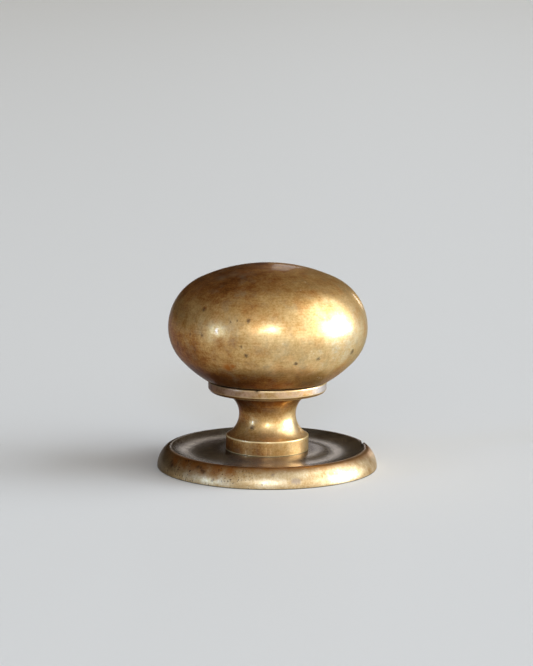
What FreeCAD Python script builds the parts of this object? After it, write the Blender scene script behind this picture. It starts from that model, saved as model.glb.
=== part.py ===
import FreeCAD, Part
import math
import os
import Sketcher

# Cabinet knob of turned brass, standing on a round dished rose.
# Millimetres, +Z up the knob's axis, origin at the centre of the rose's back face.

# Driving dimensions
SIZES = [
    ("rose_diameter", 35.5, "rose across its bottom edge"),
    ("rose_edge", 0.2, "upright edge round the rose's back"),
    ("rim_radius", 4.0, "rounded moulding outside the rim"),
    ("rim_width", 1.95, "from the bottom edge in to the crest of the rim"),
    ("rim_height", 3.15, "crest of the rim above the back face"),
    ("crest_round", 1.0, "rounding of the crest"),
    ("dish_depth", 0.35, "flat seat in the middle of the dish, below the crest"),
    ("seat_margin", 0.8, "flat seat, beyond the foot all round"),
    ("valley_depth", 0.45, "hollow round the seat, below the seat"),
    ("valley_share", 0.507, "deepest line of the hollow, as a share of the way from seat to crest"),
    ("rose_hole", 4.6, "clearance hole for the fixing screw"),
    ("nick_turn", 13.0, "knock in the rim, degrees behind the right side"),
    ("nick_width", 0.5, "knock, along the rim"),
    ("nick_depth", 0.3, "knock, down from the crest"),
    ("nick_inner", 0.6, "knock, inwards from the crest"),
    ("nick_outer", 1.1, "knock, outwards from the crest"),
    ("foot_diameter", 13.3, "foot"),
    ("foot_height", 2.35, "foot, up to its sharp upper edge"),
    ("neck_diameter", 9.15, "neck at its narrowest"),
    ("cove_radius", 3.8, "hollow curve of the neck"),
    ("collar_diameter", 19.1, "thin collar under the head"),
    ("collar_height", 1.7, "collar, from its underside to its top ledge"),
    ("bevel_width", 0.35, "bevel under the collar, inwards"),
    ("bevel_height", 0.45, "bevel under the collar, upwards"),
    ("collar_round", 0.2, "rounding of the collar's upper edge"),
    ("quirk_depth", 1.55, "groove between collar and head, in from the collar's edge"),
    ("quirk_root", 0.1, "groove, height at its bottom"),
    ("quirk_mouth", 0.35, "groove, height at its mouth"),
    ("head_diameter", 32.0, "head at its widest line"),
    ("head_rise", 8.65, "from the collar's ledge up to the widest line"),
    ("head_depth", 11.25, "from the widest line down to where the underside would close"),
    ("crown_height", 10.2, "from the widest line up to the top"),
    ("flank_share", 0.667, "radius of the side below the widest line, over head_depth"),
    ("shoulder_share", 0.838, "radius of the side above the widest line, over crown_height"),
    ("screw_hole", 3.3, "tapping hole for an M4 screw, up the foot"),
    ("screw_depth", 10.0, "tapping hole, to the end of its full diameter"),
    ("screw_mouth", 4.3, "countersink across the hole's mouth"),
    ("mouth_angle", 90.0, "countersink, degrees"),
    ("drill_angle", 118.0, "drilled end of the hole, degrees"),
]
size = {name: value for name, value, note in SIZES}

doc = FreeCAD.newDocument("CabinetKnob")
sheet = doc.addObject("Spreadsheet::Sheet", "Sizes")
for row, (name, value, note) in enumerate(SIZES, start=1):
    sheet.set(f"A{row}", note)
    sheet.set(f"B{row}", str(value))
    sheet.setAlias(f"B{row}", name)
doc.recompute()

# The ends and the centre of a sketch's edge, the sketch's origin and its upright axis
START, END, CENTRE = 1, 2, 3
ORIGIN = (-1, START)
UPRIGHT = -2


def new_body(name, label):
    """An empty body with its own label."""
    body = doc.addObject("PartDesign::Body", name)
    body.Label = label
    return body


def new_sketch(body, name, role):
    """An empty sketch that lies on one of the body's own origin planes."""
    sketch = body.newObject("Sketcher::SketchObject", name)
    plane = [feature for feature in body.Origin.OriginFeatures if feature.Role == role][0]
    sketch.AttachmentSupport = [(plane, "")]
    sketch.MapMode = "FlatFace"
    return sketch


def line(sketch, first, last):
    """A straight edge from one point to another."""
    return sketch.addGeometry(Part.LineSegment(FreeCAD.Vector(*first), FreeCAD.Vector(*last)))


def arc(sketch, centre, radius, first, last):
    """An arc that runs anticlockwise between two angles, in radians."""
    circle = Part.Circle(FreeCAD.Vector(*centre), FreeCAD.Vector(0, 0, 1), radius)
    return sketch.addGeometry(Part.ArcOfCircle(circle, first, last))


def chain(sketch, *ends):
    """Edges made to meet end to end: each entry names how, and the two ends."""
    for kind, first, first_end, second, second_end in ends:
        sketch.addConstraint(Sketcher.Constraint(kind, first, first_end, second, second_end))


def rule(sketch, *kinds):
    """Plain geometric rules, such as Horizontal, for edges or pairs of points."""
    for kind, *where in kinds:
        sketch.addConstraint(Sketcher.Constraint(kind, *where))


def drive(sketch, kind, name, formula, *where):
    """A named dimension. It is added as drawn, and then follows its formula on the sheet."""
    if kind == "Radius":
        drawn = sketch.Geometry[where[0]].Radius
    else:
        step = sketch.getPoint(where[2], where[3]) - sketch.getPoint(where[0], where[1])
        drawn = step.x if kind == "DistanceX" else step.y
    index = sketch.addConstraint(Sketcher.Constraint(kind, *where, drawn))
    sketch.renameConstraint(index, name)
    sketch.setExpression(f"Constraints.{name}", formula)


def revolve(body, sketch, name):
    """The profile turned once round the upright axis."""
    turned = body.newObject("PartDesign::Revolution", name)
    turned.Profile = sketch
    turned.ReferenceAxis = (sketch, ["V_Axis"])
    turned.Angle = 360.0
    return turned


def closing_arc(half_width, side_radius, rise):
    """The arc that closes an oval over its side arc: its radius, and the angle where they meet.

    Its centre is on the upright axis, and it is tangent to the side arc and to the level line
    that lies the given rise beyond the widest line.
    """
    spread = half_width - side_radius
    radius = (half_width * (spread - side_radius) + rise**2) / (2 * (rise - side_radius))
    return radius, math.atan2(radius - rise, spread)


# Rose: a turned disc with a rounded rim, a hollow round a flat seat, and a hole for the screw
rose = new_body("Rose", "rose")
rose_profile = new_sketch(rose, "RoseProfile", "XZ_Plane")

edge_x = size["rose_diameter"] / 2
edge_z = size["rose_edge"]
crest_x = edge_x - size["rim_width"]
crest_z = size["rim_height"] - size["crest_round"]
seat_x = size["foot_diameter"] / 2 + size["seat_margin"]
seat_z = size["rim_height"] - size["dish_depth"]
valley_x = seat_x + size["valley_share"] * (crest_x - seat_x)
valley_z = seat_z - size["valley_depth"]
hole_x = size["rose_hole"] / 2

# The rim's arc passes through the edge and encloses the crest's arc, which fixes its centre
span = math.hypot(crest_x - edge_x, crest_z - edge_z)
inner = size["rim_radius"] - size["crest_round"]
along = (size["rim_radius"] ** 2 - inner**2 + span**2) / (2 * span)
across = math.sqrt(size["rim_radius"] ** 2 - along**2)
to_crest = ((crest_x - edge_x) / span, (crest_z - edge_z) / span)
rim_centre = (
    edge_x + along * to_crest[0] - across * to_crest[1],
    edge_z + along * to_crest[1] + across * to_crest[0],
)
rim_start = math.atan2(edge_z - rim_centre[1], edge_x - rim_centre[0])
rim_end = math.atan2(crest_z - rim_centre[1], crest_x - rim_centre[0])

# The hollow's arc is tangent to the crest's, and the shoulder's to the hollow's and to the seat
hollow_radius = (
    (crest_x - valley_x) ** 2 + (valley_z - crest_z) ** 2 - size["crest_round"] ** 2
) / (2 * (size["rim_height"] - valley_z))
shoulder_width = valley_x - seat_x
seat_drop = size["valley_depth"]
seat_round = (shoulder_width**2 - 2 * hollow_radius * seat_drop + seat_drop**2) / (2 * seat_drop)
fall = math.asin(shoulder_width / (hollow_radius + seat_round))
rise = math.asin((crest_x - valley_x) / (hollow_radius + size["crest_round"]))

back = line(rose_profile, (hole_x, 0), (edge_x, 0))
edge = line(rose_profile, (edge_x, 0), (edge_x, edge_z))
rim = arc(rose_profile, rim_centre, size["rim_radius"], rim_start, rim_end)
crest = arc(rose_profile, (crest_x, crest_z), size["crest_round"], rim_end, math.pi / 2 + rise)
hollow = arc(
    rose_profile, (valley_x, valley_z + hollow_radius), hollow_radius,
    -math.pi / 2 - fall, -math.pi / 2 + rise,
)
edge_of_seat = arc(
    rose_profile, (seat_x, seat_z - seat_round), seat_round, math.pi / 2 - fall, math.pi / 2
)
seat = line(rose_profile, (seat_x, seat_z), (hole_x, seat_z))
bore = line(rose_profile, (hole_x, seat_z), (hole_x, 0))
valley = rose_profile.addGeometry(Part.Point(FreeCAD.Vector(valley_x, valley_z, 0)), True)

chain(
    rose_profile,
    ("Coincident", back, END, edge, START),
    ("Coincident", edge, END, rim, START),
    ("Tangent", rim, END, crest, START),
    ("Tangent", crest, END, hollow, END),
    ("Tangent", hollow, START, edge_of_seat, START),
    ("Tangent", edge_of_seat, END, seat, START),
    ("Coincident", seat, END, bore, START),
    ("Coincident", bore, END, back, START),
)
rule(
    rose_profile,
    ("Horizontal", back),
    ("Vertical", edge),
    ("Horizontal", seat),
    ("Vertical", bore),
    ("Horizontal", *ORIGIN, back, START),
    ("PointOnObject", valley, START, hollow),
    ("Vertical", valley, START, hollow, CENTRE),
)
drive(rose_profile, "DistanceX", "edge_radius", "Sizes.rose_diameter / 2", *ORIGIN, edge, END)
drive(rose_profile, "DistanceY", "edge_height", "Sizes.rose_edge", edge, START, edge, END)
drive(rose_profile, "Radius", "rim_radius", "Sizes.rim_radius", rim)
drive(rose_profile, "Radius", "crest_round", "Sizes.crest_round", crest)
drive(rose_profile, "DistanceX", "rim_width", "Sizes.rim_width", crest, CENTRE, edge, END)
drive(
    rose_profile, "DistanceY", "crest_centre", "Sizes.rim_height - Sizes.crest_round",
    *ORIGIN, crest, CENTRE,
)
drive(
    rose_profile, "DistanceX", "seat_radius", "Sizes.foot_diameter / 2 + Sizes.seat_margin",
    *ORIGIN, seat, START,
)
drive(
    rose_profile, "DistanceY", "seat_height", "Sizes.rim_height - Sizes.dish_depth",
    *ORIGIN, seat, END,
)
drive(
    rose_profile, "DistanceX", "valley_radius",
    "(Sizes.foot_diameter / 2 + Sizes.seat_margin) * (1 - Sizes.valley_share)"
    " + Sizes.valley_share * (Sizes.rose_diameter / 2 - Sizes.rim_width)",
    *ORIGIN, valley, START,
)
drive(
    rose_profile, "DistanceY", "valley_height",
    "Sizes.rim_height - Sizes.dish_depth - Sizes.valley_depth",
    *ORIGIN, valley, START,
)
drive(rose_profile, "DistanceX", "hole_radius", "Sizes.rose_hole / 2", *ORIGIN, bore, START)
rose_blank = revolve(rose, rose_profile, "RoseBlank")
doc.recompute()

# A knock in the rim's crest, a small wedge that opens outwards
knock_sketch = new_sketch(rose, "KnockOutline", "XY_Plane")
knock_sketch.AttachmentOffset = FreeCAD.Placement(
    FreeCAD.Vector(0, 0, size["rim_height"]),
    FreeCAD.Rotation(FreeCAD.Vector(0, 0, 1), size["nick_turn"]),
)
knock_sketch.setExpression("AttachmentOffset.Base.z", "Sizes.rim_height")
knock_sketch.setExpression("AttachmentOffset.Rotation.Angle", "Sizes.nick_turn")
knock_tip = (crest_x - size["nick_inner"], 0)
knock_right = (crest_x + size["nick_outer"], -size["nick_width"] / 2)
knock_left = (crest_x + size["nick_outer"], size["nick_width"] / 2)
right_side = line(knock_sketch, knock_tip, knock_right)
mouth = line(knock_sketch, knock_right, knock_left)
left_side = line(knock_sketch, knock_left, knock_tip)
chain(
    knock_sketch,
    ("Coincident", right_side, END, mouth, START),
    ("Coincident", mouth, END, left_side, START),
    ("Coincident", left_side, END, right_side, START),
)
rule(
    knock_sketch,
    ("Vertical", mouth),
    ("Horizontal", *ORIGIN, right_side, START),
)
drive(knock_sketch, "DistanceY", "nick_width", "Sizes.nick_width", mouth, START, mouth, END)
drive(
    knock_sketch, "DistanceY", "half_width", "Sizes.nick_width / 2",
    right_side, END, right_side, START,
)
drive(
    knock_sketch, "DistanceX", "knock_tip",
    "Sizes.rose_diameter / 2 - Sizes.rim_width - Sizes.nick_inner",
    *ORIGIN, right_side, START,
)
drive(
    knock_sketch, "DistanceX", "knock_length", "Sizes.nick_inner + Sizes.nick_outer",
    right_side, START, right_side, END,
)
knock = rose.newObject("PartDesign::Pocket", "Knock")
knock.Profile = knock_sketch
knock.setExpression("Length", "Sizes.nick_depth")

# Knob: head, collar, neck and foot turned in one piece, foot on the rose's seat
knob = new_body("Knob", "knob")
knob.setExpression("Placement.Base.z", "Sizes.rim_height - Sizes.dish_depth")
knob_profile = new_sketch(knob, "KnobProfile", "XZ_Plane")

foot_x = size["foot_diameter"] / 2
foot_z = size["foot_height"]
cove_x = size["neck_diameter"] / 2 + size["cove_radius"]
cove_z = foot_z + math.sqrt(size["cove_radius"] ** 2 - (cove_x - foot_x) ** 2)
cove_start = math.pi / 2
cove_end = math.atan2(foot_z - cove_z, foot_x - cove_x) % (2 * math.pi)
collar_x = size["collar_diameter"] / 2
collar_z = cove_z + size["cove_radius"]
ledge_z = collar_z + size["collar_height"]
quirk_x = collar_x - size["quirk_depth"]
head_x = size["head_diameter"] / 2
head_z = ledge_z + size["head_rise"]
flank_radius = size["flank_share"] * size["head_depth"]
shoulder_radius = size["shoulder_share"] * size["crown_height"]

under_radius, under_turn = closing_arc(head_x, flank_radius, size["head_depth"])
crown_radius, crown_turn = closing_arc(head_x, shoulder_radius, size["crown_height"])
under_z = head_z - size["head_depth"] + under_radius
crown_z = head_z + size["crown_height"] - crown_radius
mouth_z = ledge_z + size["quirk_mouth"]
mouth_x = math.sqrt(under_radius**2 - (under_z - mouth_z) ** 2)
under_start = math.atan2(mouth_z - under_z, mouth_x)

base = line(knob_profile, (0, 0), (foot_x, 0))
wall = line(knob_profile, (foot_x, 0), (foot_x, foot_z))
cove = arc(knob_profile, (cove_x, cove_z), size["cove_radius"], cove_start, cove_end)
underside = line(knob_profile, (cove_x, collar_z), (collar_x - size["bevel_width"], collar_z))
bevel = line(
    knob_profile,
    (collar_x - size["bevel_width"], collar_z),
    (collar_x, collar_z + size["bevel_height"]),
)
face = line(
    knob_profile,
    (collar_x, collar_z + size["bevel_height"]),
    (collar_x, ledge_z - size["collar_round"]),
)
arris = arc(
    knob_profile,
    (collar_x - size["collar_round"], ledge_z - size["collar_round"]),
    size["collar_round"], 0, math.pi / 2,
)
ledge = line(knob_profile, (collar_x - size["collar_round"], ledge_z), (quirk_x, ledge_z))
root = line(knob_profile, (quirk_x, ledge_z), (quirk_x, ledge_z + size["quirk_root"]))
roof = line(knob_profile, (quirk_x, ledge_z + size["quirk_root"]), (mouth_x, mouth_z))
under = arc(knob_profile, (0, under_z), under_radius, under_start, -under_turn)
flank = arc(knob_profile, (head_x - flank_radius, head_z), flank_radius, -under_turn, 0)
shoulder = arc(knob_profile, (head_x - shoulder_radius, head_z), shoulder_radius, 0, crown_turn)
crown = arc(knob_profile, (0, crown_z), crown_radius, crown_turn, math.pi / 2)
axis = line(knob_profile, (0, crown_z + crown_radius), (0, 0))
pole = knob_profile.addGeometry(Part.Point(FreeCAD.Vector(0, head_z - size["head_depth"], 0)), True)

chain(
    knob_profile,
    ("Coincident", *ORIGIN, base, START),
    ("Coincident", base, END, wall, START),
    ("Coincident", wall, END, cove, END),
    ("Tangent", cove, START, underside, START),
    ("Coincident", underside, END, bevel, START),
    ("Coincident", bevel, END, face, START),
    ("Tangent", face, END, arris, START),
    ("Tangent", arris, END, ledge, START),
    ("Coincident", ledge, END, root, START),
    ("Coincident", root, END, roof, START),
    ("Coincident", roof, END, under, START),
    ("Tangent", under, END, flank, START),
    ("Coincident", flank, END, shoulder, START),
    ("Tangent", shoulder, END, crown, START),
    ("Coincident", crown, END, axis, START),
    ("Coincident", axis, END, base, START),
)
rule(
    knob_profile,
    ("Horizontal", base),
    ("Vertical", wall),
    ("Horizontal", underside),
    ("Vertical", face),
    ("Horizontal", ledge),
    ("Vertical", root),
    ("PointOnObject", under, CENTRE, UPRIGHT),
    ("PointOnObject", crown, CENTRE, UPRIGHT),
    ("PointOnObject", crown, END, UPRIGHT),
    ("PointOnObject", pole, START, UPRIGHT),
    ("PointOnObject", pole, START, under),
    ("Horizontal", flank, CENTRE, flank, END),
    ("Horizontal", shoulder, CENTRE, shoulder, START),
)
drive(knob_profile, "DistanceX", "foot_radius", "Sizes.foot_diameter / 2", base, START, base, END)
drive(knob_profile, "DistanceY", "foot_height", "Sizes.foot_height", wall, START, wall, END)
drive(knob_profile, "Radius", "cove_radius", "Sizes.cove_radius", cove)
drive(
    knob_profile, "DistanceX", "cove_centre", "Sizes.neck_diameter / 2 + Sizes.cove_radius",
    *ORIGIN, cove, CENTRE,
)
drive(
    knob_profile, "DistanceX", "collar_radius", "Sizes.collar_diameter / 2",
    *ORIGIN, face, START,
)
drive(knob_profile, "DistanceX", "bevel_width", "Sizes.bevel_width", bevel, START, bevel, END)
drive(knob_profile, "DistanceY", "bevel_height", "Sizes.bevel_height", bevel, START, bevel, END)
drive(knob_profile, "DistanceY", "collar_height", "Sizes.collar_height", bevel, START, ledge, END)
drive(knob_profile, "Radius", "collar_round", "Sizes.collar_round", arris)
drive(knob_profile, "DistanceX", "quirk_depth", "Sizes.quirk_depth", ledge, END, face, START)
drive(knob_profile, "DistanceY", "quirk_root", "Sizes.quirk_root", root, START, root, END)
drive(knob_profile, "DistanceY", "quirk_mouth", "Sizes.quirk_mouth", root, START, roof, END)
drive(knob_profile, "DistanceY", "head_rise", "Sizes.head_rise", ledge, END, flank, END)
drive(knob_profile, "DistanceX", "head_radius", "Sizes.head_diameter / 2", *ORIGIN, flank, END)
drive(knob_profile, "DistanceY", "head_depth", "Sizes.head_depth", pole, START, flank, END)
drive(knob_profile, "Radius", "flank_radius", "Sizes.flank_share * Sizes.head_depth", flank)
drive(
    knob_profile, "Radius", "shoulder_radius", "Sizes.shoulder_share * Sizes.crown_height", shoulder
)
drive(knob_profile, "DistanceY", "crown_height", "Sizes.crown_height", shoulder, START, crown, END)
knob_blank = revolve(knob, knob_profile, "KnobBlank")
doc.recompute()

# The hole drilled and countersunk up the foot, for the screw that holds the knob
screw_sketch = new_sketch(knob, "ScrewCentre", "XY_Plane")
circle = Part.Circle(FreeCAD.Vector(0, 0, 0), FreeCAD.Vector(0, 0, 1), size["screw_hole"] / 2)
screw_circle = screw_sketch.addGeometry(circle)
chain(screw_sketch, ("Coincident", *ORIGIN, screw_circle, CENTRE))
drive(screw_sketch, "Radius", "screw_radius", "Sizes.screw_hole / 2", screw_circle)
screw_hole = knob.newObject("PartDesign::Hole", "ScrewHole")
screw_hole.Profile = screw_sketch
doc.recompute()
screw_hole.Threaded = False
screw_hole.DepthType = "Dimension"
screw_hole.Reversed = True
screw_hole.DrillPoint = "Angled"
screw_hole.HoleCutType = "Countersink"
screw_hole.setExpression("Diameter", "Sizes.screw_hole")
screw_hole.setExpression("Depth", "Sizes.screw_depth")
screw_hole.setExpression("DrillPointAngle", "Sizes.drill_angle")
screw_hole.setExpression("HoleCutDiameter", "Sizes.screw_mouth")
screw_hole.setExpression("HoleCutCountersinkAngle", "Sizes.mouth_angle")
doc.recompute()

# Nothing is written unless every feature and both solids came out sound
for item in doc.Objects:
    if "Invalid" in item.State or "Error" in item.State:
        raise RuntimeError(f"{item.Label} failed: {item.State}")
for sketch in (rose_profile, knock_sketch, knob_profile, screw_sketch):
    if not sketch.FullyConstrained:
        raise RuntimeError(f"{sketch.Label} isn't fully constrained")
for feature, blank in ((knock, rose_blank), (screw_hole, knob_blank)):
    if not feature.Shape.Volume < blank.Shape.Volume:
        raise RuntimeError(f"{feature.Label} cut nothing")

os.makedirs("parts", exist_ok=True)
for body in (rose, knob):
    if body.Shape.isNull() or not body.Shape.isValid() or len(body.Shape.Solids) != 1:
        raise RuntimeError(f"{body.Label} isn't one sound solid")
    body.Shape.exportStep(f"parts/{body.Label}.step")
    box = body.Shape.optimalBoundingBox(True, False)
    print(f"{body.Label}: {body.Shape.Volume:.1f} mm3, {box.XLength:.2f} x {box.YLength:.2f} mm")
    print(f"  from z {box.ZMin:.2f} to {box.ZMax:.2f} mm")
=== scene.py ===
import math

import bpy
import numpy as np
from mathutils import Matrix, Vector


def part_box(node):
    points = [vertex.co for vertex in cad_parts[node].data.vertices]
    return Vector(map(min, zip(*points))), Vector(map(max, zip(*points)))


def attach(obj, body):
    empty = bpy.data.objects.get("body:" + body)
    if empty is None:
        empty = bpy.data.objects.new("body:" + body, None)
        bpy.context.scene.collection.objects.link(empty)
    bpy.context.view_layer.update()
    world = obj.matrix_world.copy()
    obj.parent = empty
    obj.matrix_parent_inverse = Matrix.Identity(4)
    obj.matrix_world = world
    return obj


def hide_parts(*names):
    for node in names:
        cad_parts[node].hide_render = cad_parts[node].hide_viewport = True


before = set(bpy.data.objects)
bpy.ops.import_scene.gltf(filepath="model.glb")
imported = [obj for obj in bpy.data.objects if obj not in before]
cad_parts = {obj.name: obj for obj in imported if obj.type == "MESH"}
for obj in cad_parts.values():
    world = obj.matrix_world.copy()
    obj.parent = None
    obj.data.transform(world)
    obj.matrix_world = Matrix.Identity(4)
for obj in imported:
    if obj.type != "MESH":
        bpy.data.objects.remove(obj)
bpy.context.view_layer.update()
MM = 0.001

# The knob is one piece of yellow brass, cast solid and turned between centres: an oval head, a thin
# collar under a sharp groove, a hollow neck and a plain foot. It is tapped up the foot for the screw
# that holds it. Its profile is drawn sharp, softened as years of rubbing do, and turned round.
knob_low, knob_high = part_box("knob")
foot_level = knob_low.z / MM
head_radius = knob_high.x / MM
head_top = knob_high.z / MM

foot_radius = 6.65
foot_height = 2.35
neck_radius = 4.575
cove_radius = 3.8
collar_radius = 9.55
collar_height = 1.7
collar_round = 0.2
bevel_width = 0.35
bevel_height = 0.45
quirk_depth = 1.55
quirk_root = 0.1
quirk_mouth = 0.35
head_depth = 11.25
crown_height = 10.2
flank_share = 0.667
shoulder_share = 0.838
hole_radius = 1.65
hole_depth = 10.0
mouth_radius = 2.15
drill_slope = math.tan(math.radians(118 / 2))
thread_pitch = 0.7
thread_depth = 0.35
thread_length = 8.5
thread_steepness = 1.25
thread_crest = 0.15
knob_rubbed = 0.05
knob_row_step = 0.27
knob_steps_round = 224
draw_step = 0.02
least_points = 8


def arc(centre, radius, first, last):
    """Points on a circle about the centre from one angle to another, a drawing step apart: radius ×
    cosine and radius × sine of the angle."""
    count = max(least_points, int(abs(last - first) * radius / draw_step))
    turn = np.linspace(first, last, count)
    return np.stack([centre[0] + radius * np.cos(turn), centre[1] + radius * np.sin(turn)], -1)


def straight(first, last):
    """Points on a straight line between two points, a drawing step apart: a share of the one and the
    rest of the other."""
    count = max(least_points, int(math.dist(first, last) / draw_step))
    share = np.linspace(0, 1, count)[:, None]
    return np.array(first) * (1 - share) + np.array(last) * share


def closing_arc(half_width, side_radius, rise):
    """The arc that closes an oval over its side arc: its radius, and the angle where they meet. It is
    centred on the axis, and as the arcs touch, their centres are as far apart as their radii differ."""
    spread = half_width - side_radius
    radius = (half_width * (spread - side_radius) + rise**2) / (2 * (rise - side_radius))
    return radius, math.atan2(radius - rise, spread)


def softened(profile, rubbed, closed=False):
    """The profile with its arrises rubbed round: each point is the mean of its neighbours, weighted
    by a bell curve of the rubbed width. An open profile is held at its ends by mirroring it there."""
    bell_widths = 5
    keep = np.append(True, np.hypot(*np.diff(profile, axis=0).T) > 1e-9)
    profile = profile[keep]
    length = np.append(0, np.cumsum(np.hypot(*np.diff(profile, axis=0).T)))
    even = np.linspace(0, length[-1], int(length[-1] / draw_step))
    points = np.stack([np.interp(even, length, profile[:, axis]) for axis in (0, 1)], -1)
    reach = int(bell_widths * rubbed / draw_step) + 1
    bell = np.exp(-0.5 * (np.arange(-reach, reach + 1) * draw_step / rubbed) ** 2)
    if closed:
        padded = np.concatenate([points[-reach - 1:-1], points, points[1:reach + 1]])
    else:
        before = 2 * points[0] - points[reach:0:-1]
        after = 2 * points[-1] - points[-2:-reach - 2:-1]
        padded = np.concatenate([before, points, after])
    smooth = [np.convolve(padded[:, axis], bell / bell.sum(), "valid") for axis in (0, 1)]
    return np.stack(smooth, -1)


def thinned(points, widest, finer=0):
    """Fewer points along a profile. A step is the widest one divided by one plus the bend plus finer,
    a number for each drawn step or for all. Also gives each point's length along the profile and its
    bend, the change of slope per mm, positive on an outside arris and negative in an inside corner."""
    margin = 40
    near = 9
    length = np.append(0, np.cumsum(np.hypot(*np.diff(points, axis=0).T)))
    slope = np.unwrap(np.arctan2(*np.gradient(points, length, axis=0).T[::-1]))
    bend = -np.gradient(slope, length)
    effort = np.append(0, np.cumsum((1 + np.abs(bend[1:]) + finer) * np.diff(length))) / widest
    chosen = np.interp(np.linspace(0, effort[-1], int(effort[-1]) + 2), effort, length)
    rows = np.stack([np.interp(chosen, length, points[:, axis]) for axis in (0, 1)], -1)
    worn = np.convolve(np.pad(bend, margin, "edge"), np.ones(near) / near, "same")[margin:-margin]
    return rows, chosen, np.interp(chosen, length, worn)


def turned(name, radius, level, turn, values, closed=False):
    """A surface of revolution as a mesh: x is radius × sine of the turn, y is minus radius × cosine and
    z is the level. Radius and level are grids in mm, one row for each point of the profile and one
    column for each turn. A closed profile joins its last row to its first, and an open one ends at a
    pole on the axis at each end. Values are grids kept as named attributes."""
    rows, columns = radius.shape
    place = np.stack([radius * np.sin(turn), -radius * np.cos(turn), level], -1).reshape(-1, 3) * MM
    above = np.arange(rows - (not closed))[:, None] * columns
    below = (above + columns) % (rows * columns)
    here = np.arange(columns)
    beside = (here + 1) % columns
    quads = np.stack([above + here, below + here, below + beside, above + beside], -1).reshape(-1, 4)
    faces = quads.tolist()
    if not closed:
        poles = np.array([[0, 0, level[0, 0]], [0, 0, level[-1, 0]]]) * MM
        first = rows * columns
        last = first + 1
        end = first - columns
        place = np.concatenate([place, poles])
        faces += np.stack([np.full(columns, first), here, beside], -1).tolist()
        faces += np.stack([np.full(columns, last), end + beside, end + here], -1).tolist()
    mesh = bpy.data.meshes.new(name)
    mesh.from_pydata(place, [], faces)
    mesh.polygons.foreach_set("use_smooth", np.ones(len(faces), bool))
    for key, grid in values.items():
        flat = np.broadcast_to(grid, (rows, columns)).ravel()
        if not closed:
            flat = np.append(flat, [flat[0], flat[-1]])
        layer = mesh.attributes.new(key, "FLOAT", "POINT")
        layer.data.foreach_set("value", flat.astype(np.float32))
    made = bpy.data.objects.new(name, mesh)
    bpy.context.scene.collection.objects.link(made)
    return made


cove_x = neck_radius + cove_radius
foot_top = foot_level + foot_height
cove_z = foot_top + math.sqrt(cove_radius**2 - (cove_x - foot_radius) ** 2)
cove_end = math.atan2(foot_top - cove_z, foot_radius - cove_x) % (2 * math.pi)
collar_z = cove_z + cove_radius
ledge_z = collar_z + collar_height
quirk_x = collar_radius - quirk_depth
head_z = head_top - crown_height
flank_radius = flank_share * head_depth
shoulder_radius = shoulder_share * crown_height
under_radius, under_turn = closing_arc(head_radius, flank_radius, head_depth)
crown_radius, crown_turn = closing_arc(head_radius, shoulder_radius, crown_height)
under_z = head_z - head_depth + under_radius
mouth_z = ledge_z + quirk_mouth
mouth_x = math.sqrt(under_radius**2 - (under_z - mouth_z) ** 2)
under_end = math.atan2(mouth_z - under_z, mouth_x)

knob_profile = np.concatenate([
    arc((0, head_top - crown_radius), crown_radius, math.pi / 2, crown_turn),
    arc((head_radius - shoulder_radius, head_z), shoulder_radius, crown_turn, 0),
    arc((head_radius - flank_radius, head_z), flank_radius, 0, -under_turn),
    arc((0, under_z), under_radius, -under_turn, under_end),
    straight((mouth_x, mouth_z), (quirk_x, ledge_z + quirk_root)),
    straight((quirk_x, ledge_z + quirk_root), (quirk_x, ledge_z)),
    straight((quirk_x, ledge_z), (collar_radius - collar_round, ledge_z)),
    arc((collar_radius - collar_round, ledge_z - collar_round), collar_round, math.pi / 2, 0),
    straight((collar_radius, ledge_z - collar_round), (collar_radius, collar_z + bevel_height)),
    straight((collar_radius, collar_z + bevel_height), (collar_radius - bevel_width, collar_z)),
    straight((collar_radius - bevel_width, collar_z), (cove_x, collar_z)),
    arc((cove_x, cove_z), cove_radius, math.pi / 2, cove_end),
    straight((foot_radius, foot_top), (foot_radius, foot_level)),
    straight((foot_radius, foot_level), (mouth_radius, foot_level)),
])
outside, outside_length, outside_bend = thinned(softened(knob_profile, knob_rubbed), knob_row_step)
outside = outside[1:]
outside_length = outside_length[1:]
outside_bend = outside_bend[1:]
outside[-1] = (mouth_radius, foot_level)

# The hole is a cone at its mouth, then an M4 thread whose groove runs round and up, then a drilled
# tip. Its wall is given the bend of an inside corner, so that it is painted dark with corner shade.
rows_per_pitch = 6
drill_rows = 8
tip_share = 0.97
hole_row_length = 0.1
hole_bend = -6.0
knob_turn = np.linspace(-math.pi, math.pi, knob_steps_round, endpoint=False)
hole_step = thread_pitch / rows_per_pitch
hole_rise = np.arange(hole_step / 2, hole_depth, hole_step)
groove = np.abs(((hole_rise[:, None] / thread_pitch - knob_turn / (2 * math.pi)) % 1) * 2 - 1)
groove = np.clip(thread_steepness * groove - thread_crest, 0, 1)
groove = groove * (hole_rise[:, None] < thread_length)
hole_side = hole_radius + thread_depth * groove
hole_side = np.maximum(hole_side, mouth_radius - hole_rise[:, None])
drill_rise = np.linspace(0, tip_share, drill_rows)
drill_side = hole_radius * (1 - drill_rise)[:, None] * np.ones(knob_steps_round)
knob_side = np.concatenate([outside[:, :1] * np.ones(knob_steps_round), hole_side, drill_side])
knob_level = np.concatenate([
    outside[:, 1],
    foot_level + hole_rise,
    foot_level + hole_depth + drill_rise * hole_radius / drill_slope,
])[:, None] * np.ones(knob_steps_round)
inside_rows = len(knob_side) - len(outside)
inside_length = outside_length[-1] + np.arange(inside_rows) * hole_row_length
knob_values = {
    "along": np.append(outside_length, inside_length)[:, None],
    "bend": np.append(outside_bend, np.full(inside_rows, hole_bend))[:, None],
}
knob = turned("turned_knob", knob_side, knob_level, knob_turn, knob_values)
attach(knob, "root")
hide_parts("knob")


def linear(colour):
    """An sRGB hex colour as linear red, green, blue and a full alpha."""
    parts = [int(colour[at:at + 2], 16) / 255 for at in (1, 3, 5)]
    return [p / 12.92 if p <= 0.04045 else ((p + 0.055) / 1.055) ** 2.4 for p in parts] + [1.0]


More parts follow.
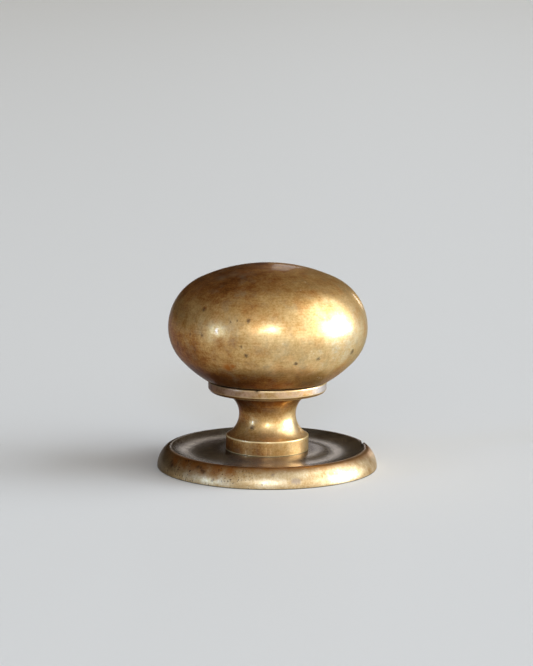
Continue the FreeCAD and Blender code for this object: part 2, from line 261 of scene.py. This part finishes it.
def add(tree, kind, inputs, stops=(), **settings):
    """Adds a node with its settings. Each input is a value, or the node whose first output feeds it,
    or a pair of node and output name. Stops are a ramp's places and colours, in rising order from 0
    to 1. Returns the node."""
    made = tree.nodes.new("ShaderNode" + kind)
    for key, value in settings.items():
        setattr(made, key, value)
    for key, value in inputs.items():
        if isinstance(value, bpy.types.Node):
            tree.links.new(value.outputs[0], made.inputs[key])
        elif isinstance(value, tuple) and isinstance(value[0], bpy.types.Node):
            tree.links.new(value[0].outputs[value[1]], made.inputs[key])
        else:
            made.inputs[key].default_value = value
    for index, (place, colour) in enumerate(stops):
        element = made.color_ramp.elements[index] if index < 2 else made.color_ramp.elements.new(place)
        element.position = place
        element.color = linear(colour)
    return made


def new_material(name):
    """An empty material, and its tree with the shader and the output in place."""
    material = bpy.data.materials.new(name)
    material.use_nodes = True
    tree = material.node_tree
    tree.nodes.clear()
    shader = tree.nodes.new("ShaderNodeBsdfPrincipled")
    output = tree.nodes.new("ShaderNodeOutputMaterial")
    tree.links.new(shader.outputs[0], output.inputs[0])
    return material, tree, shader


def spots(tree, at, outline, places, soft):
    """How far a point lies inside any of the spots: 1 at a spot's middle, 0 beyond its edge. Places are
    turn in degrees, height and size in mm; the outline, points from the top down, gives the radius."""
    covered = None
    for turn, level, size in places:
        radius = float(np.interp(-level, -outline[:, 1], outline[:, 0]))
        middle = (radius * math.sin(math.radians(turn)), -radius * math.cos(math.radians(turn)), level)
        away = add(tree, "VectorMath", {0: at, 1: middle}, operation="DISTANCE")
        reach = {"From Min": size * (1 + soft), "From Max": size * (1 - soft)}
        near = add(tree, "MapRange", {"Value": (away, "Value"), **reach})
        covered = near if covered is None else add(tree, "Math", {0: covered, 1: near}, operation="MAXIMUM")
    return covered


# Unlacquered yellow brass, turned, polished and then browned by air and hands: a satin metal that
# mirrors the windows softly, golden round its side and brown above, the brown partly patina and partly
# a painted reflection of the dim room, with soft clouds and fine turning lines. The real lines are
# finer, and are drawn this far apart so that they show.
cloud_size = 7.0
mottle_size = 1.7
grain_size = 0.3
line_spacing = 0.22
line_drift = 3.5
ruddy_size = 3.1
dusty_size = 2.2
dusty_shift = 40
painted_light_side = 0.23
left_shade_from = 26.0
left_shade_full = 20.0
head_from = 13.0
head_full = 15.0

knob_brass, tree, shader = new_material("aged_turned_brass")
place = add(tree, "TexCoord", {})
mm = add(tree, "Mapping", {"Vector": (place, "Object"), "Scale": (1 / MM,) * 3})
cloud = add(tree, "TexNoise", {
    "Vector": mm,
    "Scale": 1 / cloud_size,
    "Detail": 4,
    "Roughness": 0.55,
    "Distortion": 0.4,
})
mottle = add(tree, "TexNoise", {"Vector": mm, "Scale": 1 / mottle_size, "Detail": 6, "Roughness": 0.7})
grain = add(tree, "TexNoise", {"Vector": mm, "Scale": 1 / grain_size, "Detail": 3, "Roughness": 0.6})
along = add(tree, "Attribute", {}, attribute_name="along")
axis = add(tree, "SeparateXYZ", {0: mm})
streaks = add(tree, "CombineXYZ", {"X": (axis, "X"), "Y": (axis, "Y"), "Z": (along, "Fac")})
streak_scale = (1 / line_drift, 1 / line_drift, 1 / line_spacing)
streaks = add(tree, "VectorMath", {0: streaks, 1: streak_scale}, operation="MULTIPLY")
rings = add(tree, "TexNoise", {"Vector": streaks, "Scale": 1, "Detail": 4, "Roughness": 0.6})

# How bright the metal is from foot to crown: painted shade on the neck under the collar and under the head,
# a crown darkened by brown patina and by a painted reflection of the dim room, painted light to the right
# and painted shade low on the head's left
rise = add(tree, "MapRange", {"Value": (axis, "Z"), "From Min": foot_level, "From Max": head_top})
# painted shade under the collar and under the head, and a darker crown of patina and painted dim reflection
height_tone_and_shade = add(tree, "ValToRGB", {0: rise}, stops=[
    (0.0, "#A0A0A0"),
    (0.08, "#B4B4B4"),
    (0.13, "#D0D0D0"),
    (0.21, "#B0B0B0"),
    (0.27, "#606060"),
    (0.325, "#585858"),
    (0.33, "#B0B0B0"),
    (0.385, "#B0B0B0"),
    (0.39, "#808080"),
    (0.45, "#909090"),
    (0.5, "#C8C8C8"),
    (0.7, "#CCCCCC"),
    (0.82, "#BABABA"),
    (0.92, "#8E8E8E"),
    (1.0, "#7C7C7C"),
])
around = add(tree, "VectorMath", {0: mm, 1: (1, 1, 0)}, operation="MULTIPLY")
around = add(tree, "VectorMath", {0: around}, operation="NORMALIZE")
around = add(tree, "SeparateXYZ", {0: around})
side = (around, "X")
# painted light: brighter to the right, the side of the windows
tone = add(tree, "Math", {0: side, 1: painted_light_side, 2: height_tone_and_shade}, operation="MULTIPLY_ADD")
# painted shade: darker low on the head's left, away from the windows
painted_shade_left = add(tree, "MapRange", {"Value": side, "From Min": 0.0, "From Max": -0.9, "To Max": -0.3})
under = add(tree, "MapRange", {"Value": (axis, "Z"), "From Min": left_shade_from, "From Max": left_shade_full})
head_only = add(tree, "MapRange", {"Value": (axis, "Z"), "From Min": head_from, "From Max": head_full})
under = add(tree, "Math", {0: under, 1: head_only}, operation="MULTIPLY")
tone = add(tree, "Math", {0: painted_shade_left, 1: under, 2: tone}, operation="MULTIPLY_ADD")
for pattern, share in ((cloud, 0.5), (mottle, 0.75), (grain, 0.5), (rings, 0.3)):
    tone = add(tree, "Math", {0: pattern, 1: share, 2: tone}, operation="MULTIPLY_ADD")
tone = add(tree, "Math", {0: tone, 1: 1.0}, operation="SUBTRACT")
skin = add(tree, "ValToRGB", {0: tone}, stops=[
    (0.0, "#6E421C"),
    (0.2, "#9C6832"),
    (0.45, "#C69C5E"),
    (0.75, "#E8C88E"),
    (1.0, "#F6E6C0"),
])
ruddy = add(tree, "TexNoise", {"Vector": mm, "Scale": 1 / ruddy_size, "Detail": 5, "Roughness": 0.65})
ruddy = add(tree, "MapRange", {"Value": ruddy, "From Min": 0.48, "From Max": 0.74, "To Max": 0.5})
redder = {"Factor": ruddy, 6: skin, 7: linear("#F0C08A")}
skin = add(tree, "Mix", redder, data_type="RGBA", blend_type="MULTIPLY")
dusty = add(tree, "Mapping", {"Vector": mm, "Location": (dusty_shift, 0, 0)})
dusty = add(tree, "TexNoise", {"Vector": dusty, "Scale": 1 / dusty_size, "Detail": 5, "Roughness": 0.7})
dusty = add(tree, "MapRange", {"Value": dusty, "From Min": 0.5, "From Max": 0.76, "To Max": 0.5})

# The collar's wall has painted shade to the left, is blotched with pink towards the right, and has a
# painted silvery reflection at its right end
wall_lift = 0.3
wall = add(tree, "MapRange", {
    "Value": (axis, "Z"),
    "From Min": collar_z + wall_lift,
    "From Max": ledge_z + wall_lift,
})
wall = add(tree, "ValToRGB", {0: wall}, stops=[
    (0.0, "#000000"),
    (0.15, "#FFFFFF"),
    (0.85, "#FFFFFF"),
    (1.0, "#000000"),
])
# painted shade on the collar's left, away from the windows
shaded = add(tree, "MapRange", {"Value": side, "From Min": 0.26, "From Max": -0.7, "To Max": 0.9})
shaded = add(tree, "Math", {0: shaded, 1: wall}, operation="MULTIPLY")
pinkish = add(tree, "MapRange", {
    "Value": (axis, "X"),
    "From Min": -9.0,
    "From Max": 3.0,
    "To Min": 0.1,
    "To Max": 0.5,
})
blotch = add(tree, "MapRange", {"Value": mottle, "From Min": 0.42, "From Max": 0.58})
pinkish = add(tree, "Math", {0: pinkish, 1: blotch}, operation="MULTIPLY")
pinkish = add(tree, "Math", {0: pinkish, 1: wall}, operation="MULTIPLY")
# painted reflection of the cool window on the collar's right end
silvery_reflection = add(tree, "MapRange", {"Value": (axis, "X"), "From Min": 6.6, "From Max": 8.4, "To Max": 0.6})
silvery_reflection = add(tree, "Math", {0: silvery_reflection, 1: wall}, operation="MULTIPLY")

# Arrises are rubbed bright, with painted shade dulling them on the left of the collar and head, and inside
# corners get painted shade
bend = add(tree, "Attribute", {}, attribute_name="bend")
rubbed = add(tree, "MapRange", {"Value": (bend, "Fac"), "From Min": 0.8, "From Max": 5.0})
# painted shade: the rubbed arrises darkened on the left, away from the windows
arris_shade_left = add(tree, "MapRange", {"Value": side, "From Min": -0.05, "From Max": -0.6, "To Max": 0.8})
on_collar = add(tree, "MapRange", {"Value": (axis, "Z"), "From Min": collar_z - 0.6, "From Max": collar_z})
arris_shade_left = add(tree, "Math", {0: arris_shade_left, 1: on_collar}, operation="MULTIPLY")
arris_shade_left = add(tree, "Math", {0: 1.0, 1: arris_shade_left}, operation="SUBTRACT")
rubbed = add(tree, "Math", {0: rubbed, 1: arris_shade_left}, operation="MULTIPLY")
# painted shade in inside corners and in the hole
painted_shade = add(tree, "MapRange", {"Value": (bend, "Fac"), "From Min": -0.8, "From Max": -4.0})

# Small marks of wear: dark pinholes and specks, three rusty stains, and brighter nicks in the metal
middle_grey = (0.5, 0.5, 0.5)
speck_ragged = (0.8, 0.8, 0.8)
ragged = add(tree, "VectorMath", {0: (grain, "Color"), 1: middle_grey}, operation="SUBTRACT")
ragged = add(tree, "VectorMath", {0: ragged, 1: speck_ragged, 2: mm}, operation="MULTIPLY_ADD")
rusty = spots(tree, ragged, outside, [
    (-25.0, 18.4, 0.75),
    (-21.5, 18.7, 0.4),
    (-42.2, 27.4, 0.3),
], 0.6)
specks = spots(tree, ragged, outside, [
    (-42.8, 27.2, 0.28),
    (-11.5, 26.1, 0.26),
    (-22.2, 25.8, 0.14),
    (-18.2, 26.0, 0.12),
    (-40.0, 23.3, 0.18),
    (-63.2, 21.2, 0.26),
    (-12.2, 20.7, 0.24),
    (-15.0, 22.1, 0.16),
    (-49.5, 23.2, 0.14),
    (16.8, 19.3, 0.26),
    (30.5, 19.9, 0.24),
    (58.8, 20.1, 0.34),
    (-10.2, 14.0, 0.3),
    (-29.8, 7.0, 0.28),
], 0.9)
nicks = spots(tree, ragged, outside, [
    (37.5, 31.1, 0.14),
    (26.0, 30.2, 0.1),
    (40.0, 16.2, 0.16),
    (38.0, 16.4, 0.1),
    (42.5, 16.1, 0.1),
], 0.5)
# Mixed over the skin in turn: dust, painted shade on the collar, pink blotches, a painted silvery
# reflection, rubbed arrises, painted shade in corners, rust, specks and nicks
for factor, colour in (
    (dusty, "#A08C70"),
    (shaded, "#5E4228"),
    (pinkish, "#D8B4A0"),
    (silvery_reflection, "#E2E8F4"),
    (rubbed, "#F4DCA2"),
    (painted_shade, "#3A2410"),
    (rusty, "#B06A2A"),
    (specks, "#4E382C"),
    (nicks, "#FFF0C8"),
):
    skin = add(tree, "Mix", {"Factor": factor, 6: (skin, "Result"), 7: linear(colour)}, data_type="RGBA")
tree.links.new(skin.outputs["Result"], shader.inputs["Base Color"])
satin = add(tree, "MapRange", {"Value": tone, "To Min": 0.42, "To Max": 0.28})
tree.links.new(satin.outputs[0], shader.inputs["Roughness"])
metal = add(tree, "MapRange", {"Value": tone, "To Min": 0.7, "To Max": 0.9})
tree.links.new(metal.outputs[0], shader.inputs["Metallic"])
shader.inputs["Specular IOR Level"].default_value = 0.2
shader.inputs["Specular Tint"].default_value = linear("#887248")
shader.inputs["Coat Weight"].default_value = 0.16
shader.inputs["Coat Roughness"].default_value = 0.1
relief = add(tree, "Math", {0: mottle, 1: 0.6, 2: grain}, operation="MULTIPLY_ADD")
relief = add(tree, "Math", {0: rings, 1: 0.25, 2: relief}, operation="MULTIPLY_ADD")
relief = add(tree, "Math", {0: specks, 1: -1.0, 2: relief}, operation="MULTIPLY_ADD")
bump = add(tree, "Bump", {"Height": relief, "Strength": 0.5, "Distance": 0.012 * MM})
tree.links.new(bump.outputs[0], shader.inputs["Normal"])
knob.data.materials.append(knob_brass)

# The rose is a thin turned disc of the same brass: a rounded rim, a shallow dish and a clearance hole
# for the screw. The knob's foot stands on the flat seat in the middle of the dish. A small knock in
# the rim's crest shows behind the right side.
rose_low, rose_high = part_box("rose")
rose_radius = rose_high.x / MM
rim_height = rose_high.z / MM
edge_height = 0.2
rim_round = 4.0
rim_width = 1.95
crest_round = 1.0
seat_margin = 0.8
seat_start = 7.0
valley_depth = 0.45
valley_share = 0.507
screw_clearance = 2.3
knock_x = 15.56
knock_y = 4.0
knock_skew = 0.04
knock_width = 0.56
knock_level = 2.76
knock_fall = 0.17
knock_side = 0.6
knock_from = -3.0
rose_rubbed = 0.04
rose_row_step = 0.3
rose_steps_round = 300

# The rim's arc runs from the edge to the round of the crest and touches it. In the dish, the arc of
# the valley touches the crest's round outside and the round that falls from the seat inside.
crest_x = rose_radius - rim_width
crest_z = rim_height - crest_round
span = math.hypot(rim_width, crest_z - edge_height)
inner = rim_round - crest_round
ahead = (rim_round**2 - inner**2 + span**2) / (2 * span)
aside = math.sqrt(rim_round**2 - ahead**2)
to_crest = (-rim_width / span, (crest_z - edge_height) / span)
rim_x = rose_radius + ahead * to_crest[0] - aside * to_crest[1]
rim_z = edge_height + ahead * to_crest[1] + aside * to_crest[0]
rim_first = math.atan2(edge_height - rim_z, rose_radius - rim_x)
rim_last = math.atan2(crest_z - rim_z, crest_x - rim_x)
seat_x = foot_radius + seat_margin
valley_x = seat_x + valley_share * (crest_x - seat_x)
valley_z = foot_level - valley_depth
hollow = (crest_x - valley_x) ** 2 + (valley_z - crest_z) ** 2 - crest_round**2
hollow = hollow / (2 * (rim_height - valley_z))
seat_round = (valley_x - seat_x) ** 2 - 2 * hollow * valley_depth + valley_depth**2
seat_round = seat_round / (2 * valley_depth)
fall = math.asin((valley_x - seat_x) / (hollow + seat_round))
lean = math.asin((crest_x - valley_x) / (hollow + crest_round))

rose_profile = np.concatenate([
    straight((seat_start, foot_level), (seat_x, foot_level)),
    arc((seat_x, foot_level - seat_round), seat_round, math.pi / 2, math.pi / 2 - fall),
    arc((valley_x, valley_z + hollow), hollow, -math.pi / 2 - fall, -math.pi / 2 + lean),
    arc((crest_x, crest_z), crest_round, math.pi / 2 + lean, rim_last),
    arc((rim_x, rim_z), rim_round, rim_last, rim_first),
    straight((rose_radius, edge_height), (rose_radius, 0)),
    straight((rose_radius, 0), (screw_clearance, 0)),
    straight((screw_clearance, 0), (screw_clearance, foot_level)),
    straight((screw_clearance, foot_level), (seat_start, foot_level)),
])

# Rows lie closer on the crest and columns closer at the knock. The knock is a notch that runs back
# nearly along Y: its floor falls backwards and rises to both sides with the square of the way across.
crest_inside = 15.2
crest_outside = 17.1
crest_bottom = 1.9
crest_finer = 6.0
knock_first = math.radians(93)
knock_last = math.radians(116)
knock_columns = 76
column_gap = 0.004
rubbed_profile = softened(rose_profile, rose_rubbed, closed=True)
drawn_x = rubbed_profile[1:, 0]
drawn_z = rubbed_profile[1:, 1]
on_crest = (drawn_x > crest_inside) & (drawn_x < crest_outside) & (drawn_z > crest_bottom)
ring, ring_length, ring_bend = thinned(rubbed_profile, rose_row_step, crest_finer * on_crest)
ring = ring[:-1]
even_turn = np.linspace(-math.pi, math.pi, rose_steps_round, endpoint=False)
apart = (even_turn < knock_first - column_gap) | (even_turn > knock_last + column_gap)
rose_turn = np.sort(np.append(even_turn[apart], np.linspace(knock_first, knock_last, knock_columns)))
rose_side = ring[:, :1] * np.ones(len(rose_turn))
rose_level = ring[:, 1:] * np.ones(len(rose_turn))
back = -rose_side * np.cos(rose_turn) - knock_y
across = np.abs(rose_side * np.sin(rose_turn) - knock_x - knock_skew * back) / (knock_width / 2)
knock_floor = knock_level - knock_fall * back + knock_side * across**2
in_knock = (across < 1) & (back > knock_from) & (rose_level > crest_bottom)
rose_level = np.where(in_knock, np.minimum(rose_level, knock_floor), rose_level)
rose_values = {"along": ring_length[:-1, None], "bend": ring_bend[:-1, None], "knocked": in_knock}
rose = turned("dished_rose", rose_side, rose_level, rose_turn, rose_values, closed=True)
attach(rose, "root")
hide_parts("rose")

# The rose's brass has stayed golden and pitted on the rim, where hands and cloths reach, and has a
# grey-brown skin in the dish, smooth enough to mirror what stands behind. Its turning lines are about
# as fine as a pixel of the picture.
rose_cloud_size = 5.0
rose_mottle_size = 1.3
rose_line_spacing = 0.12
pinhole_spacing = 0.42

rose_brass, tree, shader = new_material("aged_rose_brass")
place = add(tree, "TexCoord", {})
mm = add(tree, "Mapping", {"Vector": (place, "Object"), "Scale": (1 / MM,) * 3})
flat = add(tree, "VectorMath", {0: mm, 1: (1, 1, 0)}, operation="MULTIPLY")
out = add(tree, "VectorMath", {0: flat}, operation="LENGTH")
axis = add(tree, "SeparateXYZ", {0: mm})
cloud = add(tree, "TexNoise", {
    "Vector": mm,
    "Scale": 1 / rose_cloud_size,
    "Detail": 4,
    "Roughness": 0.6,
    "Distortion": 0.5,
})
mottle = add(tree, "TexNoise", {"Vector": mm, "Scale": 1 / rose_mottle_size, "Detail": 6, "Roughness": 0.7})
grain = add(tree, "TexNoise", {"Vector": mm, "Scale": 1 / grain_size, "Detail": 3, "Roughness": 0.6})
rings = add(tree, "Math", {0: (out, "Value"), 1: 1 / rose_line_spacing}, operation="MULTIPLY")
rings = add(tree, "TexNoise", {"W": rings, "Scale": 1, "Detail": 3}, noise_dimensions="1D")

# One tone drives the colours of rim and dish, darker at the far left. The two meet in a wandering line.
tone = add(tree, "MapRange", {"Value": (axis, "X"), "From Min": -12.0, "From Max": -17.0, "To Max": -0.25})
for pattern, share in ((cloud, 0.7), (mottle, 0.8), (grain, 0.5)):
    tone = add(tree, "Math", {0: pattern, 1: share, 2: tone}, operation="MULTIPLY_ADD")
tone = add(tree, "Math", {0: tone, 1: 0.42}, operation="SUBTRACT")
rim = add(tree, "ValToRGB", {0: tone}, stops=[
    (0.0, "#5E3C1A"),
    (0.25, "#8E683A"),
    (0.5, "#B6986A"),
    (0.75, "#D0BC96"),
    (1.0, "#E8DAC0"),
])
dish = add(tree, "ValToRGB", {0: tone}, stops=[
    (0.0, "#32281A"),
    (0.35, "#584C3A"),
    (0.65, "#7E7666"),
    (1.0, "#A8A092"),
])
wander = add(tree, "Math", {0: mottle, 1: 0.5, 2: (out, "Value")}, operation="MULTIPLY_ADD")
over_back = add(tree, "MapRange", {"Value": (axis, "Y"), "From Min": -5.0, "From Max": 3.0, "To Max": -1.2})
edge = add(tree, "Math", {0: wander, 1: over_back}, operation="ADD")
on_dish = add(tree, "MapRange", {"Value": edge, "From Min": 15.95, "From Max": 15.5})
above_bed = add(tree, "MapRange", {"Value": (axis, "Z"), "From Min": 0.5, "From Max": 1.0})
on_dish = add(tree, "Math", {0: on_dish, 1: above_bed}, operation="MULTIPLY")
off_dish = add(tree, "Math", {0: 1.0, 1: on_dish}, operation="SUBTRACT")
skin = add(tree, "Mix", {"Factor": on_dish, 6: rim, 7: dish}, data_type="RGBA")

# The dish is greyer in front and darker round the foot behind. The crest has a brown line, the rim's
# shoulder is browner than its side, its left end is olive, and its arrises are rubbed bright.
greyed = add(tree, "MapRange", {"Value": (axis, "Y"), "From Min": -6.0, "From Max": -10.0, "To Max": 0.6})
greyed = add(tree, "Math", {0: greyed, 1: on_dish}, operation="MULTIPLY")
behind = add(tree, "MapRange", {"Value": (axis, "Y"), "From Min": -6.0, "From Max": -1.0})
pocket = add(tree, "MapRange", {"Value": wander, "From Min": 9.6, "From Max": 8.2, "To Max": 0.7})
pocket = add(tree, "Math", {0: pocket, 1: behind}, operation="MULTIPLY")
crest_line = add(tree, "MapRange", {"Value": edge, "From Min": 15.2, "From Max": 17.2})
crest_line = add(tree, "ValToRGB", {0: crest_line}, stops=[
    (0.0, "#000000"),
    (0.3, "#B0B0B0"),
    (0.6, "#808080"),
    (1.0, "#000000"),
])
crest_line = add(tree, "Math", {0: crest_line, 1: above_bed}, operation="MULTIPLY")
shoulder = add(tree, "MapRange", {"Value": (axis, "Z"), "From Min": 2.2, "From Max": 2.9, "To Max": 0.65})
past_crest = add(tree, "MapRange", {"Value": wander, "From Min": 15.9, "From Max": 16.3})
shoulder = add(tree, "Math", {0: shoulder, 1: past_crest}, operation="MULTIPLY")
olive = add(tree, "MapRange", {"Value": (axis, "X"), "From Min": -14.0, "From Max": -17.0, "To Max": 0.7})
bend = add(tree, "Attribute", {}, attribute_name="bend")
rubbed = add(tree, "MapRange", {"Value": (bend, "Fac"), "From Min": 1.6, "From Max": 5.0, "To Max": 0.8})

# Marks on the rim: rusty stains and pinholes towards the left, a few dark pits and a grey stain in
# front. Its foot has painted contact shade, and the knock is painted with shade.
stain_ragged = (3.0, 3.0, 3.0)
ragged = add(tree, "VectorMath", {0: (mottle, "Color"), 1: middle_grey}, operation="SUBTRACT")
ragged = add(tree, "VectorMath", {0: ragged, 1: stain_ragged, 2: mm}, operation="MULTIPLY_ADD")
rough_edged = add(tree, "VectorMath", {0: (grain, "Color"), 1: middle_grey}, operation="SUBTRACT")
rough_edged = add(tree, "VectorMath", {0: rough_edged, 1: speck_ragged, 2: mm}, operation="MULTIPLY_ADD")
rim_line = rose_profile[np.argmax(rose_profile[:, 1]):]
rim_line = rim_line[:np.argmin(rim_line[:, 1]) + 1]
rusty = spots(tree, ragged, rim_line, [
    (-50.0, 2.6, 1.3),
    (-43.0, 2.5, 1.2),
    (-36.0, 2.5, 1.3),
    (-28.0, 2.5, 1.2),
    (-20.0, 2.6, 0.9),
    (-60.0, 2.5, 0.9),
], 0.5)
rusty = add(tree, "Math", {0: rusty, 1: 0.75}, operation="MULTIPLY")
rusty = add(tree, "Math", {0: rusty, 1: off_dish}, operation="MULTIPLY")
pitted = add(tree, "TexVoronoi", {"Vector": rough_edged, "Scale": 1 / pinhole_spacing, "Randomness": 1.0})
hole = add(tree, "MapRange", {"Value": (pitted, "Distance"), "From Min": 0.32, "From Max": 0.24})
few = add(tree, "SeparateXYZ", {0: (pitted, "Color")})
few = add(tree, "Math", {0: (few, "X"), 1: 0.6}, operation="LESS_THAN")
leftward = add(tree, "MapRange", {"Value": (axis, "X"), "From Min": 0.0, "From Max": -6.0, "To Min": 0.1})
crowd = add(tree, "MapRange", {"Value": mottle, "From Min": 0.42, "From Max": 0.5})
for limit in (few, leftward, crowd, off_dish):
    hole = add(tree, "Math", {0: hole, 1: limit}, operation="MULTIPLY")
pits = spots(tree, rough_edged, rim_line, [
    (-60.5, 1.8, 0.4),
    (-62.5, 2.2, 0.3),
    (-40.0, 2.5, 0.35),
    (-38.0, 2.5, 0.25),
    (-36.3, 2.1, 0.34),
    (-35.0, 2.0, 0.3),
    (-29.0, 0.9, 0.2),
    (-28.3, 1.1, 0.16),
    (-2.5, 0.8, 0.14),
    (-13.0, 2.6, 0.12),
], 0.7)
pits = add(tree, "Math", {0: pits, 1: 0.75}, operation="MULTIPLY")
pits = add(tree, "Math", {0: pits, 1: hole}, operation="MAXIMUM")
stain = spots(tree, rough_edged, rim_line, [
    (13.6, 1.2, 0.34),
    (15.0, 1.2, 0.4),
    (16.4, 1.2, 0.34),
    (3.0, 2.2, 0.2),
], 0.7)
stain = add(tree, "Math", {0: stain, 1: 0.7}, operation="MULTIPLY")
# painted contact shade along the rim's bottom edge
painted_shade = add(tree, "MapRange", {"Value": (axis, "Z"), "From Min": 0.16, "From Max": 0.1, "To Max": 0.8})
# painted shade in the knock
knocked = add(tree, "Attribute", {}, attribute_name="knocked")
knocked = add(tree, "Math", {0: (knocked, "Fac"), 1: 0.8}, operation="MULTIPLY")
# Mixed over the skin in turn: grey front, dark pocket, crest line, brown shoulder, olive end, rubbed
# arrises, rust, stain, pits, painted contact shade and painted shade in the knock
for factor, colour in (
    (greyed, "#A09892"),
    (pocket, "#3A3020"),
    (crest_line, "#7A4C1C"),
    (shoulder, "#8E5E2A"),
    (olive, "#6A6450"),
    (rubbed, "#F0DCA8"),
    (rusty, "#94581E"),
    (stain, "#8A7C74"),
    (pits, "#443024"),
    (painted_shade, "#2E241A"),
    (knocked, "#3A2C1C"),
):
    skin = add(tree, "Mix", {"Factor": factor, 6: (skin, "Result"), 7: linear(colour)}, data_type="RGBA")
tree.links.new(skin.outputs["Result"], shader.inputs["Base Color"])
rough = add(tree, "MapRange", {"Value": on_dish, "To Min": 0.36, "To Max": 0.27})
tree.links.new(rough.outputs[0], shader.inputs["Roughness"])
metal = add(tree, "MapRange", {"Value": on_dish, "To Min": 0.9, "To Max": 0.85})
tree.links.new(metal.outputs[0], shader.inputs["Metallic"])
shader.inputs["Specular IOR Level"].default_value = 0.2
shader.inputs["Specular Tint"].default_value = linear("#D8D0CC")
relief = add(tree, "Math", {0: mottle, 1: 0.6, 2: grain}, operation="MULTIPLY_ADD")
relief = add(tree, "Math", {0: rings, 1: 0.4, 2: relief}, operation="MULTIPLY_ADD")
relief = add(tree, "Math", {0: pits, 1: -1.5, 2: relief}, operation="MULTIPLY_ADD")
depth = add(tree, "MapRange", {"Value": on_dish, "To Min": 0.5, "To Max": 0.12})
bump = add(tree, "Bump", {"Height": relief, "Strength": depth, "Distance": 0.009 * MM})
tree.links.new(bump.outputs[0], shader.inputs["Normal"])
rose.data.materials.append(rose_brass)

# Floor: a plain pale sheet of matt paint, large enough to fill the picture, just under the rose
floor_half = 6.0
floor_level = -0.02 * MM
signs = ((-1, -1), (1, -1), (1, 1), (-1, 1))
corners = [(x * floor_half, y * floor_half, floor_level) for x, y in signs]
floor_mesh = bpy.data.meshes.new("floor")
floor_mesh.from_pydata(corners, [], [(0, 1, 2, 3)])
floor = bpy.data.objects.new("floor", floor_mesh)
bpy.context.scene.collection.objects.link(floor)
floor_paint, tree, shader = new_material("pale_floor")
shader.inputs["Base Color"].default_value = linear("#E0E0DC")
shader.inputs["Roughness"].default_value = 0.6
shader.inputs["Specular IOR Level"].default_value = 0.1
floor_mesh.materials.append(floor_paint)

# Light: a low and a high soft window to the right, a pale wall between them and the camera, a window
# above the camera with a weaker glow beside it, a slim cool window to the left, and behind the knob a
# slim window and a doorway. The picture shows them only as the brass mirrors them.
lamp_distance = 4.0
lamp_target = (0, 0, 0.02)


def softbox(name, turn, rise, width, height, watts, colour="#FFFFFF"):
    """A flat lamp that faces the knob from a turn round it and a rise above the floor, in degrees: it
    lies that way from the target, at the lamps' distance. Width and height are in metres."""
    lamp = bpy.data.lights.new(name, "AREA")
    lamp.shape = "RECTANGLE"
    lamp.size = width
    lamp.size_y = height
    lamp.energy = watts
    lamp.color = linear(colour)[:3]
    made = bpy.data.objects.new(name, lamp)
    around_it = math.radians(turn)
    above_it = math.radians(rise)
    level_way = math.cos(above_it)
    way = (math.sin(around_it) * level_way, -math.cos(around_it) * level_way, math.sin(above_it))
    made.location = np.array(way) * lamp_distance + np.array(lamp_target)
    made.rotation_euler = (math.pi / 2 - above_it, 0, around_it)
    bpy.context.scene.collection.objects.link(made)


softbox("window_right", 89, 8.5, 2.5, 1.5, 155, "#E6F0FF")
softbox("window_right_upper", 86, 37, 3.8, 2.7, 98, "#E6F0FF")
softbox("wall_right", 48, 12, 3.6, 2.0, 25, "#F2F6FF")
softbox("window_front", 3, 20, 0.7, 0.42, 40, "#C4DAFF")
softbox("window_front_wide", -14, 20, 1.2, 0.5, 6)
softbox("window_left", -61, 8, 0.24, 0.8, 36, "#98C0FF")
softbox("window_behind", 157.5, 4.6, 0.26, 0.63, 5)
softbox("doorway_behind", 177.2, 17.5, 0.26, 1.3, 2.6, "#F0F6FF")

# The room is bright on the camera's side and to the right, dim elsewhere, and brown beyond the knob,
# where a paler band of wall lies some way up
room_way = (0.30, -0.42, -0.10)
room_level = 0.5
room_least = 0.08
band_light = 0.25
world = bpy.data.worlds.new("room")
bpy.context.scene.world = world
world.use_nodes = True
tree = world.node_tree
tree.nodes.clear()
way = add(tree, "TexCoord", {})
toward = add(tree, "VectorMath", {0: (way, "Generated"), 1: room_way}, operation="DOT_PRODUCT")
part = add(tree, "SeparateXYZ", {0: (way, "Generated")})
bright = add(tree, "Math", {0: (toward, "Value"), 1: room_level}, operation="ADD")
bright = add(tree, "Math", {0: bright, 1: room_least}, operation="MAXIMUM")
beyond = add(tree, "MapRange", {"Value": (part, "Y"), "From Min": 0.2, "From Max": 0.5})
band = add(tree, "MapRange", {"Value": (part, "Z"), "From Min": 0.34, "From Max": 0.40})
band_top = add(tree, "MapRange", {"Value": (part, "Z"), "From Min": 0.52, "From Max": 0.46})
for limit in (band_top, beyond):
    band = add(tree, "Math", {0: band, 1: limit}, operation="MULTIPLY")
bright = add(tree, "Math", {0: band, 1: band_light, 2: bright}, operation="MULTIPLY_ADD")
tint = {"Factor": beyond, 6: linear("#FFF8EC"), 7: linear("#CCB088")}
tint = add(tree, "Mix", tint, data_type="RGBA")
glow = add(tree, "Background", {"Color": (tint, "Result"), "Strength": bright})
tree.links.new(glow.outputs[0], add(tree, "OutputWorld", {}).inputs[0])

# Camera: where the outlines of the photograph put it, a long lens a little above the rose
camera_rise = 0.168
camera_distance = 0.417
camera_aim = np.array([-0.00022, 0, 0.02167])
camera_roll = 0.0061
focal_pixels = 2600
picture_height = 666
sensor = 36
lens = bpy.data.cameras.new("camera")
lens.sensor_width = sensor
lens.lens = focal_pixels / picture_height * sensor
camera = bpy.data.objects.new("camera", lens)
camera_way = np.array([0, -math.cos(camera_rise), math.sin(camera_rise)])
camera.location = camera_aim + camera_distance * camera_way
camera.rotation_mode = "ZYX"
camera.rotation_euler = (math.pi / 2 - camera_rise, 0, camera_roll)
bpy.context.scene.collection.objects.link(camera)
bpy.context.scene.camera = camera
bpy.context.scene.view_settings.view_transform = "Standard"
